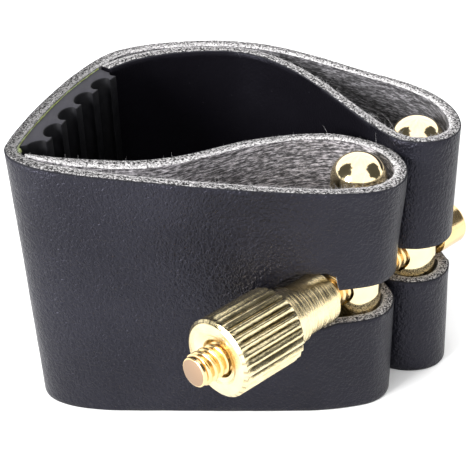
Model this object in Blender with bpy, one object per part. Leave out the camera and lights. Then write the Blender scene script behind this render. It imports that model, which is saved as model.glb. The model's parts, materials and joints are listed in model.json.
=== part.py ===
"""Saxophone ligature with a folded leather strap.

One leather strip, folded at a crease, has each of its ends turned back round a vertical
brass pin and glued down as a lining. A long screw crosses both pins, and a knurled nut on
it draws them together. A grooved rubber pad is glued in beside the crease.

+X runs from the crease to the pins, +Y away from the nut, +Z up. Lengths are in
millimetres and become metres when a mesh is made.
"""

import math

import bmesh
import bpy
from mathutils import Vector

MM = 0.001
GAP = 0.3  # between pieces that touch on the real object

# Plan position of the crease's outer edge: the object's bounding box is centred on X and Y
CREASE = Vector((-24.4, -4.9))

# Strap, with its plan measured from the crease
LEATHER = 1.25
CREASE_HEIGHT = 30.0
FRONT_LOOP_HEIGHT = 27.7
REAR_LOOP_HEIGHT = 29.2
TAPER_LENGTH = 36.0
CREASE_LEAN = 2.2  # the crease's foot stands this far in from its top
LEAN_LENGTH = 20.0
LOOP_RADIUS = 4.25

# Pins
FRONT_PIN = Vector((35.4, 1.0))
REAR_PIN = Vector((41.8, 7.3))
PIN_RADIUS = 2.9
PIN_LENGTH = 28.4
PIN_DOME = 2.0
FRONT_PIN_FOOT = 0.5
REAR_PIN_FOOT = 1.2

# Screw and nut, with distances along the screw measured from the front pin towards the rear
SCREW_HEIGHT = 14.0
SCREW_RADIUS = 1.75
THREAD_PITCH = 0.8
THREAD_DEPTH = 0.3
SCREW_TIP = -23.2
HEAD_RADIUS = 2.45
HEAD_FROM = 12.1
HEAD_TO = 15.9
KNOB_RADIUS = 4.2
KNOB_FROM = -20.2
KNOB_TO = -11.7
KNOB_CHAMFER = 0.3
FLUTES = 26
FLUTE_DEPTH = 0.35
COLLAR_RADIUS = 2.8
COLLAR_TO = -5.0
BORE_RADIUS = SCREW_RADIUS + 0.35

# How far the screw swings as the strap opens, in the rear loop and in the front one
REAR_SWING = math.radians(11.5)
FRONT_SWING = math.radians(16.6)
SLOT_HALF = 2.05

# Grooved pad
PAD_BASE = 1.15
PAD_RIDGE = 1.15
PAD_GROOVES = 6
PAD_PITCH = 3.6
GLUE = 0.2
GLUE_GAP = 0.12

GOLD = (0.83, 0.66, 0.34)
CHARCOAL = (0.045, 0.046, 0.056)


# Plan curves

def bezier(a, b, c, d, steps):
    """Points of a cubic curve from a up to, and without, d."""
    a, b, c, d = (Vector(p) for p in (a, b, c, d))
    found = []
    for i in range(steps):
        t = i / steps
        s = 1 - t
        found.append(a * s**3 + b * 3 * s * s * t + c * 3 * s * t * t + d * t**3)
    return found


def around(centre, start, end, steps):
    """Points of the loop round a pin, from one angle in degrees to another, ends included."""
    angles = [math.radians(start + (end - start) * i / steps) for i in range(steps + 1)]
    return [centre + LOOP_RADIUS * Vector((math.cos(a), math.sin(a))) for a in angles]


def front_half():
    """The grain side of the strip from the front lining's end, round the front pin, to the crease."""
    lining = bezier((3.8, -0.4), (6.5, -0.5), (9.5, -0.6), (12.5, -0.2), 4)
    lining += bezier((12.5, -0.2), (19, 0.7), (25.0, 7.3), (33.0, 7.3), 12)
    turn = bezier((33.0, 7.3), (36.2, 7.3), (38.8, 5.4), (39.56, 1.74), 7)
    turn += around(FRONT_PIN, 10, -70, 9)
    run = bezier((36.85, -2.99), (34.9, -3.7), (32.5, -4.1), (29.5, -4.1), 6)[1:]
    run += bezier((29.5, -4.1), (23, -4.1), (16, -4.1), (9.5, -4.0), 20)
    run += bezier((9.5, -4.0), (4.6, -3.9), (-0.2, -2.9), (-0.1, 0.9), 10)
    return lining + turn + run


def rear_half():
    """The grain side from the crease, round the rear pin, to the rear lining's end at the pad."""
    run = bezier((-0.1, 0.9), (1.1, 6.2), (4.8, 16.3), (8.5, 21.6), 14)
    run += bezier((8.5, 21.6), (11.0, 24.1), (16.5, 25.8), (21.5, 25.8), 8)
    run += bezier((21.5, 25.8), (27.8, 25.8), (32.8, 21.9), (38.3, 18.3), 8)
    run += bezier((38.3, 18.3), (42.5, 15.9), (46.05, 12.5), (46.05, 7.3), 10)
    turn = around(REAR_PIN, 0, -140, 14)
    lining = bezier((38.54, 4.57), (36.5, 7.0), (34.2, 11.2), (32.3, 14.3), 7)[1:]
    lining += bezier((32.3, 14.3), (30.2, 17.7), (26.5, 23.0), (21.5, 23.0), 9)
    lining += bezier((21.5, 23.0), (17.5, 23.0), (12.4, 21.8), (9.3, 18.2), 7)
    return run + turn + lining + [Vector((9.3, 18.2))]


def lengths(points):
    """The distance along a line of points at each of them."""
    found = [0.0]
    for a, b in zip(points, points[1:]):
        found.append(found[-1] + (b - a).length)
    return found


def point_at(points, along):
    """The point of a line at a distance along it."""
    at = lengths(points)
    i = max(k for k in range(len(points) - 1) if at[k] <= along)
    share = (along - at[i]) / (at[i + 1] - at[i])
    return points[i].lerp(points[i + 1], share)


def stretch(points, start, end):
    """The part of a line between two distances along it."""
    at = lengths(points)
    inside = [p for p, d in zip(points, at) if start + 0.05 < d < end - 0.05]
    return [point_at(points, start)] + inside + [point_at(points, end)]


def inward(points):
    """At each point, the unit vector from the grain side to the flesh side, to the right."""
    found = []
    for i in range(len(points)):
        step = points[min(i + 1, len(points) - 1)] - points[max(i - 1, 0)]
        found.append(Vector((step.y, -step.x)).normalized())
    return found


def offset(points, distance):
    return [p + n * distance for p, n in zip(points, inward(points))]


def top_height(x, loop_height=REAR_LOOP_HEIGHT):
    """The strap narrows evenly from the crease to the loops."""
    return CREASE_HEIGHT + (loop_height - CREASE_HEIGHT) * min(max(x / TAPER_LENGTH, 0), 1)


def placed(x, y, z):
    """A point in metres, with the crease's lean, from one measured from the crease."""
    lean = CREASE_LEAN * (1 - z / CREASE_HEIGHT) * max(0, 1 - abs(x) / LEAN_LENGTH)
    return Vector((x + lean + CREASE.x, y + CREASE.y, z)) * MM


# Materials and meshes

def material(name, colour, roughness, metallic=0.0):
    made = bpy.data.materials.new(name)
    made.use_nodes = True
    shader = made.node_tree.nodes["Principled BSDF"]
    shader.inputs["Base Color"].default_value = (*colour, 1.0)
    shader.inputs["Roughness"].default_value = roughness
    shader.inputs["Metallic"].default_value = metallic
    made.diffuse_color = (*colour, 1.0)
    return made


def finish(bm, name, colour, roughness, metallic=0.0, smooth=False):
    """The named object, closed and facing out, with a material of its own."""
    bmesh.ops.recalc_face_normals(bm, faces=bm.faces)
    mesh = bpy.data.meshes.new(name)
    bm.to_mesh(mesh)
    bm.free()
    made = bpy.data.objects.new(name, mesh)
    bpy.context.scene.collection.objects.link(made)
    mesh.materials.append(material(name, colour, roughness, metallic))
    if smooth:
        mesh.shade_smooth()
        mesh.set_sharp_from_angle(angle=math.radians(35))
    return made


def prism(outline, foot, top):
    """A solid on a closed outline, with its top following the strap's height."""
    bm = bmesh.new()
    low = [bm.verts.new(placed(p.x, p.y, foot)) for p in outline]
    high = [bm.verts.new(placed(p.x, p.y, top(p.x))) for p in outline]
    bm.faces.new(low)
    bm.faces.new(high)
    for i in range(len(outline)):
        j = (i + 1) % len(outline)
        bm.faces.new((low[i], low[j], high[j], high[i]))
    bmesh.ops.triangulate(bm, faces=[f for f in bm.faces if len(f.verts) > 4])
    return bm


# Strap

def swing_distance(point, pin, rest, swing, reach):
    """How far a point is from an axis that swings about a pin, beyond the axis's ends."""
    away = point - pin
    turned = math.atan2(away.y, away.x) - rest
    turned = (turned + math.pi) % (2 * math.pi) - math.pi
    off = turned - min(max(turned, 0), swing)
    along = away.length * math.cos(off)
    if abs(off) > math.pi / 2 or not reach[0] < along < reach[1]:
        return math.inf
    return away.length * abs(math.sin(off))


def slot_half(points, pin, bodies):
    """Half the slot's height at a station: the plain slot, or room for what swings through."""
    room = SLOT_HALF
    for rest, swing, reach, radius in bodies:
        off = min(swing_distance(p, pin, rest, swing, reach) for p in points)
        if off < radius:
            room = max(room, math.sqrt(radius**2 - off**2))
    return room


def strip(points, loop_height, slot=None):
    """A stretch of strap standing on its edge. slot gives its pin, its two angles round
    that pin in degrees, and what swings through it."""
    inner = offset(points, LEATHER)
    halves = []
    for grain, flesh in zip(points, inner):
        half = 0
        if slot:
            pin, start, end, bodies = slot
            away = grain - pin
            if start <= math.degrees(math.atan2(away.y, away.x)) <= end:
                half = slot_half((grain, flesh), pin, bodies)
        halves.append(half)
    bm = bmesh.new()
    rows = []
    for grain, flesh, half in zip(points, inner, halves):
        levels = (
            0.0,
            SCREW_HEIGHT - (half or SLOT_HALF),
            SCREW_HEIGHT + (half or SLOT_HALF),
            top_height(grain.x, loop_height),
        )
        rows.append(
            [[bm.verts.new(placed(p.x, p.y, z)) for z in levels] for p in (grain, flesh)]
        )
    for i in range(len(rows) - 1):
        cut = halves[i] and halves[i + 1]
        (a, c), (b, d) = rows[i], rows[i + 1]
        for k in (0, 2) if cut else (0, 1, 2):
            bm.faces.new((a[k], b[k], b[k + 1], a[k + 1]))
            bm.faces.new((c[k], c[k + 1], d[k + 1], d[k]))
        for k in (0, 1, 2, 3) if cut else (0, 3):
            bm.faces.new((a[k], b[k], d[k], c[k]))
    for i, (a, c) in enumerate(rows):
        before = i > 0 and bool(halves[i - 1] and halves[i])
        after = i < len(rows) - 1 and bool(halves[i] and halves[i + 1])
        if i in (0, len(rows) - 1):
            for k in (0, 1, 2):
                bm.faces.new((a[k], a[k + 1], c[k + 1], c[k]))
        elif before != after:
            bm.faces.new((a[1], a[2], c[2], c[1]))
    return bm


def add_strap():
    """The one strip, in the stretches that its crease, its loops and its linings make."""
    screw = REAR_PIN - FRONT_PIN
    rest = math.atan2(screw.y, screw.x)
    back = rest - math.pi
    clearance = GAP + 0.2
    front_slot = (
        FRONT_PIN,
        -154,
        100,
        [
            (back, FRONT_SWING, (-COLLAR_TO - 0.2, 30), COLLAR_RADIUS + clearance),
            (rest, FRONT_SWING, (0, 9), SCREW_RADIUS + clearance),
        ],
    )
    rear_slot = (
        REAR_PIN,
        -177,
        96,
        [
            (back, REAR_SWING, (0, 9), SCREW_RADIUS + clearance),
            (rest, REAR_SWING, (0, 9), HEAD_RADIUS + clearance),
        ],
    )
    front, rear = front_half(), rear_half()
    front_length, rear_length = lengths(front + [rear[0]])[-1], lengths(rear)[-1]
    fold = front + rear
    half = GAP / 2
    front_cuts = (0, 23.0, 63.0, front_length - 5.0)
    rear_cuts = (front_length + 3.5, front_length + 46.5, front_length + 88.0)
    names = (
        "strap_front_lining",
        "strap_front_loop",
        "strap_front_run",
        "strap_crease",
        "strap_rear_run",
        "strap_rear_loop",
        "strap_rear_lining",
    )
    slots = {"strap_front_loop": front_slot, "strap_rear_loop": rear_slot}
    cuts = [*front_cuts, *rear_cuts, front_length + rear_length]
    for name, start, end in zip(names, cuts, cuts[1:]):
        first = start + (half if start else 0)
        last = end - (half if end < cuts[-1] else 0)
        points = stretch(fold, first, last)
        loop_height = REAR_LOOP_HEIGHT if "rear" in name else FRONT_LOOP_HEIGHT
        finish(strip(points, loop_height, slots.get(name)), name, CHARCOAL, 0.55)


# Pad

def pad_depth(along):
    """The pad's thickness at a distance along it: round-bottomed grooves between ridges."""
    phase = (along / PAD_PITCH) % 1
    groove = math.sqrt(max(0, 1 - ((phase - 0.5) / 0.36) ** 2))
    return PAD_BASE + PAD_RIDGE * (1 - groove)


def pad_stations():
    """Where the pad's inner face turns, as distances along it."""
    shares = (0.0, 0.1, 0.14, 0.2, 0.33, 0.5, 0.67, 0.8, 0.86, 0.9)
    found = [(g + s) * PAD_PITCH for g in range(PAD_GROOVES) for s in shares]
    return found[2:-2]


def pad_line():
    """The flesh side of the strap from just past the crease to the rear lining's end."""
    return stretch(rear_half(), 0.6, 19.7)


def add_pad():
    line = pad_line()
    back = offset(line, LEATHER + 2 * GLUE_GAP + GLUE)
    normals = inward(line)
    at = lengths(back)
    inner = []
    for along in pad_stations():
        if along < at[-1]:
            base = point_at(back, along)
            nearest = min(range(len(back)), key=lambda k: (back[k] - base).length)
            inner.append(base + normals[nearest] * pad_depth(along))
    outline = back + inner[::-1]
    bm = prism(outline, 0.0, lambda x: top_height(x) - 0.3)
    finish(bm, "groove_pad", (0.05, 0.053, 0.06), 0.6)


def add_glue():
    line = pad_line()
    near = offset(line, LEATHER + GLUE_GAP)
    far = offset(line, LEATHER + GLUE_GAP + GLUE)
    bm = prism(near + far[::-1], 0.4, lambda x: top_height(x) - 0.2)
    finish(bm, "pad_glue", (0.42, 0.45, 0.14), 0.35)


# Turned pieces

def turned(profile, place, segments, radius_at=None):
    """A solid of revolution. profile holds (radius, distance); a radius of 0 closes an end,
    and a profile with no such end is closed on itself, as a bored piece."""
    bm = bmesh.new()
    rings = []
    for index, (radius, distance) in enumerate(profile):
        if radius == 0:
            rings.append([bm.verts.new(place(0, 0, distance))])
            continue
        ring = []
        for k in range(segments):
            angle = 2 * math.pi * k / segments
            r = radius_at(index, radius, k) if radius_at else radius
            ring.append(
                bm.verts.new(place(r * math.cos(angle), r * math.sin(angle), distance))
            )
        rings.append(ring)
    pairs = list(zip(rings, rings[1:]))
    if profile[0][0]:
        pairs.append((rings[-1], rings[0]))
    for low, high in pairs:
        for k in range(segments):
            j = (k + 1) % segments
            if len(low) == 1:
                bm.faces.new((low[0], high[j], high[k]))
            elif len(high) == 1:
                bm.faces.new((low[k], low[j], high[0]))
            else:
                bm.faces.new((low[k], low[j], high[j], high[k]))
    return bm


def upright(pin):
    """Places a turned piece on a pin's vertical axis."""
    centre = (pin + CREASE).to_3d()
    return lambda u, v, w: (centre + Vector((u, v, w))) * MM


def on_screw():
    """Places a turned piece on the screw's axis, at distances from the front pin."""
    axis = (REAR_PIN - FRONT_PIN).normalized().to_3d()
    side = Vector((axis.y, -axis.x, 0))
    centre = (FRONT_PIN + CREASE).to_3d() + Vector((0, 0, SCREW_HEIGHT))
    return lambda u, v, w: (centre + side * u + Vector((0, 0, v)) + axis * w) * MM


def dome(radius, height, foot, steps, up):
    """Profile points of a shallow domed end, from its rim to the axis."""
    found = []
    for i in range(steps):
        a = math.pi / 2 * i / steps
        found.append((radius * math.cos(a), foot + up * height * math.sin(a)))
    return found + [(0, foot + up * height)]


def add_pin(name, centre, foot):
    low = dome(PIN_RADIUS, PIN_DOME, foot + PIN_DOME, 5, -1)
    high = dome(PIN_RADIUS, PIN_DOME, foot + PIN_LENGTH - PIN_DOME, 5, 1)
    pin = finish(
        turned(low[::-1] + high, upright(centre), 36), name, GOLD, 0.18, 1.0, smooth=True
    )
    middle = (centre - FRONT_PIN).length
    reach = PIN_RADIUS + 1.5
    profile = [
        (0, middle - reach),
        (BORE_RADIUS, middle - reach),
        (BORE_RADIUS, middle + reach),
        (0, middle + reach),
    ]
    cutter = finish(turned(profile, on_screw(), 32), name + "_drill", GOLD, 0.18, 1.0)
    cutter.hide_render = True
    cutter.display_type = "WIRE"
    drill = pin.modifiers.new("cross_hole", "BOOLEAN")
    drill.operation = "DIFFERENCE"
    drill.solver = "EXACT"
    drill.object = cutter


def add_screw():
    """The threaded rod with its head behind the rear pin. Its crests are rings at the pitch."""
    root = SCREW_RADIUS - THREAD_DEPTH
    profile = [(0, SCREW_TIP), (root, SCREW_TIP)]
    at = SCREW_TIP + THREAD_PITCH / 2
    while at < HEAD_FROM - THREAD_PITCH:
        profile.append((SCREW_RADIUS, at))
        profile.append((root, at + THREAD_PITCH / 2))
        at += THREAD_PITCH
    edge = 0.4
    profile += [
        (root, HEAD_FROM),
        (HEAD_RADIUS, HEAD_FROM),
        (HEAD_RADIUS, HEAD_TO - edge),
        (HEAD_RADIUS - 0.3 * edge, HEAD_TO - 0.3 * edge),
        (HEAD_RADIUS - edge, HEAD_TO),
        (0, HEAD_TO),
    ]
    finish(turned(profile, on_screw(), 20), "clamp_screw", GOLD, 0.2, 1.0, smooth=True)


def add_nut():
    """The thumb nut: a fluted knob and a plain collar turned from one bar, bored through."""
    step = 0.25
    profile = [
        (BORE_RADIUS, COLLAR_TO),
        (BORE_RADIUS, KNOB_FROM + 0.5),
        (BORE_RADIUS + 0.4, KNOB_FROM),
        (KNOB_RADIUS - KNOB_CHAMFER, KNOB_FROM),
        (KNOB_RADIUS, KNOB_FROM + KNOB_CHAMFER),
        (KNOB_RADIUS, KNOB_TO - KNOB_CHAMFER),
        (KNOB_RADIUS - KNOB_CHAMFER, KNOB_TO),
        (COLLAR_RADIUS + step, KNOB_TO),
        (COLLAR_RADIUS + step, KNOB_TO + 0.5),
        (COLLAR_RADIUS, KNOB_TO + 0.5),
        (COLLAR_RADIUS, COLLAR_TO - step),
        (COLLAR_RADIUS - step, COLLAR_TO),
    ]
    fluted = {4, 5}

    def radius_at(index, radius, k):
        return radius - (FLUTE_DEPTH if index in fluted and k % 4 > 1 else 0)

    bm = turned(profile, on_screw(), 4 * FLUTES, radius_at)
    finish(bm, "thumb_nut", GOLD, 0.22, 1.0)


def main():
    for old in list(bpy.data.objects):
        bpy.data.objects.remove(old, do_unlink=True)
    add_strap()
    add_pad()
    add_glue()
    add_pin("front_pin", FRONT_PIN, FRONT_PIN_FOOT)
    add_pin("rear_pin", REAR_PIN, REAR_PIN_FOOT)
    add_screw()
    add_nut()


main()
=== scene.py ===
"""The looks of a leather saxophone ligature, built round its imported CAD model.

Lengths are in millimetres, as in the CAD source, and become metres when a mesh is made.
The strap's plan is measured from its crease, where +X runs to the pins and +Y away from
the thumb nut. "Along" is the distance along the strip from the front lining's end.
"""

import json
import math

import bmesh
import bpy
import numpy as np
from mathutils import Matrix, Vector, noise


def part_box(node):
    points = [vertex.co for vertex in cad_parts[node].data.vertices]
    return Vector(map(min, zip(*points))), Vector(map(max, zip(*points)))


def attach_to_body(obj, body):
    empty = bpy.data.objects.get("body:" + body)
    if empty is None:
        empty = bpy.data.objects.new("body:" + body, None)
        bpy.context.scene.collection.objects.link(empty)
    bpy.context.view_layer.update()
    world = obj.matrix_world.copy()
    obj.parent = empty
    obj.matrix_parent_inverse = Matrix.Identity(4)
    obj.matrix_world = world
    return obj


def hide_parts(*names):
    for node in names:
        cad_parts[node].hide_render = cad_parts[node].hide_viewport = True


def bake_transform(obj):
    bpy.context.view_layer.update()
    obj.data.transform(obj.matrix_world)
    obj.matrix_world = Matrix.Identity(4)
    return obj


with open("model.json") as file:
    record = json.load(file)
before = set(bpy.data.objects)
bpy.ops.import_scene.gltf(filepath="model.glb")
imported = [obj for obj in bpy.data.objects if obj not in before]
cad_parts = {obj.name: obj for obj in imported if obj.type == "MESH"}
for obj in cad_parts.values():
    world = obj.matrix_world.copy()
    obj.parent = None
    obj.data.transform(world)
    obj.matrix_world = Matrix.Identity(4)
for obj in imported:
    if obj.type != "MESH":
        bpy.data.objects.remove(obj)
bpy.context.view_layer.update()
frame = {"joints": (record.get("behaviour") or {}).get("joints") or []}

MM = 0.001

# Frame: the pins' axes come from their CAD nodes, and the crease lies a known way from them
CREASE_TO_FRONT_PIN = np.array((35.4, 1.0))
CREASE_TO_REAR_PIN = np.array((41.8, 7.3))

# Strap
LEATHER = 1.2
CREASE_HEIGHT = 30.0
FRONT_LOOP_HEIGHT = 27.7
REAR_LOOP_HEIGHT = 29.2
TAPER_LENGTH = 36.0
CREASE_LEAN = 2.2
LEAN_LENGTH = 20.0
LOOP_RADIUS = 4.25
EDGE_ROUND = 0.16
FOOT = 0.02  # the lowest point of leather and pad
STATION = 0.35  # between the mesh's columns
ROW = 0.6  # between its rows
SLOT_HALF = 2.05
FRONT_SLOT_DROP = 0.35  # the front slot is cut a little low
REAR_SWING = math.radians(11.5)
FRONT_SWING = math.radians(16.6)

# Pins, screw and nut, with distances along the screw measured from the front pin
PIN_RADIUS = 2.9
PIN_DOME = 2.6
SCREW_RADIUS = 1.75
SCREW_TIP = -23.2
THREAD_PITCH = 0.8
THREAD_DEPTH = 0.46
HEAD_RADIUS = 2.45
HEAD_FROM = 12.1
HEAD_TO = 15.9
KNOB_RADIUS = 4.2
KNOB_FROM = -20.2
KNOB_TO = -11.7
KNOB_CHAMFER = 0.3
FLUTES = 26
FLUTE_DEPTH = 0.36
RING_RADIUS = 3.12
RING_TO = -9.6
COLLAR_RADIUS = 2.8
COLLAR_TO = -5.0
BORE_RADIUS = 1.95

# Pad
PAD_BACK = 1.3  # from the strap's grain side to the pad's back
PAD_BASE = 1.25
PAD_RIDGE = 1.3
PAD_GROOVES = 6
PAD_PITCH = 3.85
PAD_DROP = 0.3  # its top lies this far below the strap's
PAD_FROM = 0.6  # its ends, beyond the crease along the strip
PAD_TO = 19.9
PAD_BEVEL = 0.1
GROOVE_MOUTH = 1.28  # half widths of a groove at its mouth and below it
GROOVE_BELLY = 1.58
GROOVE_OFFSET = -1.5  # the first ridge's middle, from the pad's end

# Loose fibres
FIBRE_RADIUS = 0.013
LONGEST_FIBRE = 1.6

# Camera: a long lens, 33 degrees above the table, looking straight along +Y
CAMERA_FROM_CREASE = np.array((22.9, -137.7))
CAMERA_HEIGHT = 109.4
CAMERA_DOWN = math.radians(33)
CAMERA_LENS = 122.55

# A skin's materials, and where the UVs of its cut edges and its slot's ends start
GRAIN, FLESH, CUT = 0, 1, 2
EDGE_V = 40.0
END_U = 250.0


# Frame

def axis_of(node):
    """The plan position of an upright node's axis, and its lowest and highest points, in mm."""
    low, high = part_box(node)
    middle = (low + high) / 2 / MM
    return np.array((middle.x, middle.y)), low.z / MM, high.z / MM


FRONT_AXIS = axis_of("front_pin")[0]
REAR_AXIS = axis_of("rear_pin")[0]
CREASE = FRONT_AXIS - CREASE_TO_FRONT_PIN
SCREW_HEIGHT = next(
    joint["pos_m"][2] / MM for joint in frame["joints"] if joint["name"] == "nut_turn"
)


def placed(x, y, z):
    """A point in metres, with the crease's lean, from one measured from the crease."""
    lean = CREASE_LEAN * (1 - z / CREASE_HEIGHT) * max(0.0, 1 - abs(x) / LEAN_LENGTH)
    return ((x + lean + CREASE[0]) * MM, (y + CREASE[1]) * MM, z * MM)


def top_height(x, loop_height=REAR_LOOP_HEIGHT):
    """The strap narrows evenly from the crease to the loops."""
    return CREASE_HEIGHT + (loop_height - CREASE_HEIGHT) * min(max(x / TAPER_LENGTH, 0), 1)


def smooth_step(x, low, high):
    t = min(max((x - low) / (high - low), 0.0), 1.0)
    return t * t * (3 - 2 * t)


def rough(x, y, z=0.0):
    """Smooth noise from -1 to 1 at a point given in cells."""
    return noise.noise(Vector((x, y, z)))


# Meshes

def add_object(name, data):
    made = bpy.data.objects.new(name, data)
    bpy.context.scene.collection.objects.link(made)
    return made


class Build:
    """A mesh put together from points in metres and faces with UVs and material indices."""

    def __init__(self):
        self.points, self.faces, self.uvs, self.kinds = [], [], [], []

    def point(self, xyz):
        self.points.append(tuple(xyz))
        return len(self.points) - 1

    def face(self, corners, uvs, kind=0):
        self.faces.append(tuple(corners))
        self.uvs.append(uvs)
        self.kinds.append(kind)

    def tube(self, rings, uv, flip=False):
        """Faces between closed rings of points, where uv(ring, step) is a point's UV."""
        for i in range(len(rings) - 1):
            for k in range(len(rings[i])):
                around = [(i, k), (i, k + 1), (i + 1, k + 1), (i + 1, k)]
                if flip:
                    around[1:] = around[:0:-1]
                corners = [rings[ring][step % len(rings[ring])] for ring, step in around]
                self.face(corners, [uv(*place) for place in around])

    def finish(self, name, materials, sharp=40.0):
        used = sorted({v for face in self.faces for v in face})
        place = {v: i for i, v in enumerate(used)}
        mesh = bpy.data.meshes.new(name)
        mesh.from_pydata(
            [self.points[v] for v in used],
            [],
            [[place[v] for v in face] for face in self.faces],
        )
        layer = mesh.uv_layers.new(name="Surface")
        flat = [c for face in self.uvs for uv in face for c in uv]
        layer.data.foreach_set("uv", flat)
        mesh.polygons.foreach_set("material_index", self.kinds)
        for material in materials:
            mesh.materials.append(material)
        mesh.shade_smooth()
        mesh.set_sharp_from_angle(angle=math.radians(sharp))
        return add_object(name, mesh)


# The strip's plan

def bezier(a, b, c, d, steps=60):
    """Points of a cubic curve from a up to, and without, d."""
    a, b, c, d = (np.array(p, float) for p in (a, b, c, d))
    t = np.arange(steps)[:, None] / steps
    s = 1 - t
    return a * s**3 + b * 3 * s * s * t + c * 3 * s * t * t + d * t**3


def around(centre, start, end, steps=90):
    """Points of the loop round a pin, from one angle in degrees to another, ends included."""
    angles = np.radians(np.linspace(start, end, steps + 1))
    return centre + LOOP_RADIUS * np.stack([np.cos(angles), np.sin(angles)], 1)


def front_half():
    """The grain side from the front lining's end, round the front pin, to the crease."""
    return np.concatenate([
        bezier((2.2, -0.25), (5.0, -0.6), (9.5, -0.6), (12.5, -0.2)),
        bezier((12.5, -0.2), (19, 0.7), (25.0, 7.3), (33.0, 7.3)),
        bezier((33.0, 7.3), (36.2, 7.3), (38.8, 5.4), (39.56, 1.74)),
        around(CREASE_TO_FRONT_PIN, 10, -70),
        bezier((36.85, -2.99), (34.9, -3.7), (32.5, -4.1), (29.5, -4.1))[1:],
        bezier((29.5, -4.1), (23, -4.1), (16, -4.1), (9.5, -4.0)),
        bezier((9.5, -4.0), (4.6, -3.9), (-0.2, -2.9), (-0.1, 0.9)),
    ])


def rear_half():
    """The grain side from the crease, round the rear pin, to the rear lining's end."""
    return np.concatenate([
        bezier((-0.1, 0.9), (0.75, 6.3), (4.7, 16.9), (8.5, 21.6)),
        bezier((8.5, 21.6), (10.7, 24.3), (16.3, 25.8), (21.5, 25.8)),
        bezier((21.5, 25.8), (27.8, 25.8), (32.8, 21.9), (38.3, 18.3)),
        bezier((38.3, 18.3), (42.5, 15.9), (46.05, 12.5), (46.05, 7.3)),
        around(CREASE_TO_REAR_PIN, 0, -140),
        bezier((38.54, 4.57), (36.5, 7.0), (34.2, 11.2), (32.3, 14.3))[1:],
        bezier((32.3, 14.3), (30.2, 17.7), (26.5, 23.0), (21.5, 23.0)),
        bezier((21.5, 23.0), (17.5, 23.0), (12.4, 21.8), (9.3, 18.2)),
        [(9.3, 18.2)],
    ])


class Line:
    """A line of plan points that can be read at any distance along it."""

    def __init__(self, points):
        self.points = np.array(points)
        steps = np.linalg.norm(np.diff(self.points, axis=0), axis=1)
        self.at = np.concatenate([[0.0], np.cumsum(steps)])
        self.length = self.at[-1]

    def point(self, along):
        return np.array([np.interp(along, self.at, self.points[:, c]) for c in (0, 1)])

    def inward(self, along, reach=0.25):
        """The unit vector from the grain side to the flesh side, to the right of travel."""
        step = self.point(min(along + reach, self.length)) - self.point(max(along - reach, 0))
        return np.array((step[1], -step[0])) / np.linalg.norm(step)


FRONT, REAR = front_half(), rear_half()
STRIP = Line(np.concatenate([FRONT, REAR]))
CREASE_ALONG = Line(np.concatenate([FRONT, REAR[:1]])).length
CREASE_FROM = CREASE_ALONG - 7.0
CREASE_END = CREASE_ALONG + 5.5


def thickness(along):
    """The leather's thickness: skived at the front lining's end, swollen where two layers
    are glued together, and pressed thin round the crease and behind the pad."""
    end = STRIP.length
    stations = (
        (0.0, 0.5), (4.5, 1.45), (8.0, 1.55), (16.0, LEATHER),
        (CREASE_ALONG - 14, LEATHER), (CREASE_ALONG - 9, 1.5), (CREASE_ALONG - 4, 1.4),
        (CREASE_ALONG - 0.5, 1.1), (CREASE_ALONG + 4, 1.25), (CREASE_ALONG + 38, 1.35),
        (CREASE_ALONG + 44, LEATHER), (end - 22, LEATHER), (end - 15, 1.35), (end, 1.35),
    )
    return float(np.interp(along, *zip(*stations)))


def strap_top(x, along):
    """The strap's height at a station: its front is cut narrower than its rear."""
    return top_height(x, FRONT_LOOP_HEIGHT if along < CREASE_ALONG else REAR_LOOP_HEIGHT)


def settled(x, y, z, along):
    """Where use has pushed a point of the strap in plan: the front wall leans out at its
    top, the front loop's mouth flares, and the rear loop's foot spreads."""
    if along < CREASE_ALONG:
        wall = smooth_step(x, 3, 26) * (1 - smooth_step(y, -3.4, 4.0))
        mouth = smooth_step(x, 35.5, 39.5) * (0.12 + 0.45 * smooth_step(z, 17, 27))
        return x + mouth, y - 1.0 * wall * (z / FRONT_LOOP_HEIGHT) ** 3
    loop = smooth_step(x, 40, 46)
    foot = 1 - smooth_step(z, 0, 11)
    return x + loop * (0.22 + 0.25 * foot), y - 0.4 * loop * foot


# Slots

def swing_distance(point, pin, rest, swing, reach):
    """How far a point is from an axis that swings about a pin, beyond the axis's ends."""
    away = point - pin
    turned = math.atan2(away[1], away[0]) - rest
    turned = (turned + math.pi) % (2 * math.pi) - math.pi
    off = turned - min(max(turned, 0), swing)
    distance = float(np.linalg.norm(away))
    if abs(off) > math.pi / 2 or not reach[0] < distance * math.cos(off) < reach[1]:
        return math.inf
    return distance * abs(math.sin(off))


def slots():
    """For each loop: its pin, the slot's two angles round it, how low it is cut, and what
    passes through it, as (rest angle, swing, reach, room below, room above)."""
    screw = CREASE_TO_REAR_PIN - CREASE_TO_FRONT_PIN
    rest = math.atan2(screw[1], screw[0])
    back = rest - math.pi
    thread = SCREW_RADIUS + 0.35
    collar_reach = (-COLLAR_TO - 0.1, 30)
    front = (CREASE_TO_FRONT_PIN, -154, 100, FRONT_SLOT_DROP, [
        (back, 0.3 * FRONT_SWING, collar_reach, COLLAR_RADIUS + 0.1, COLLAR_RADIUS + 1.15),
        (rest, FRONT_SWING, (0, 9), thread, thread),
    ])
    head = HEAD_RADIUS + 0.35
    rear = (CREASE_TO_REAR_PIN, -177, 96, 0, [
        (back, REAR_SWING, (0, 9), thread, thread),
        (rest, REAR_SWING, (0, 9), head, head),
    ])
    return front, rear


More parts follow.
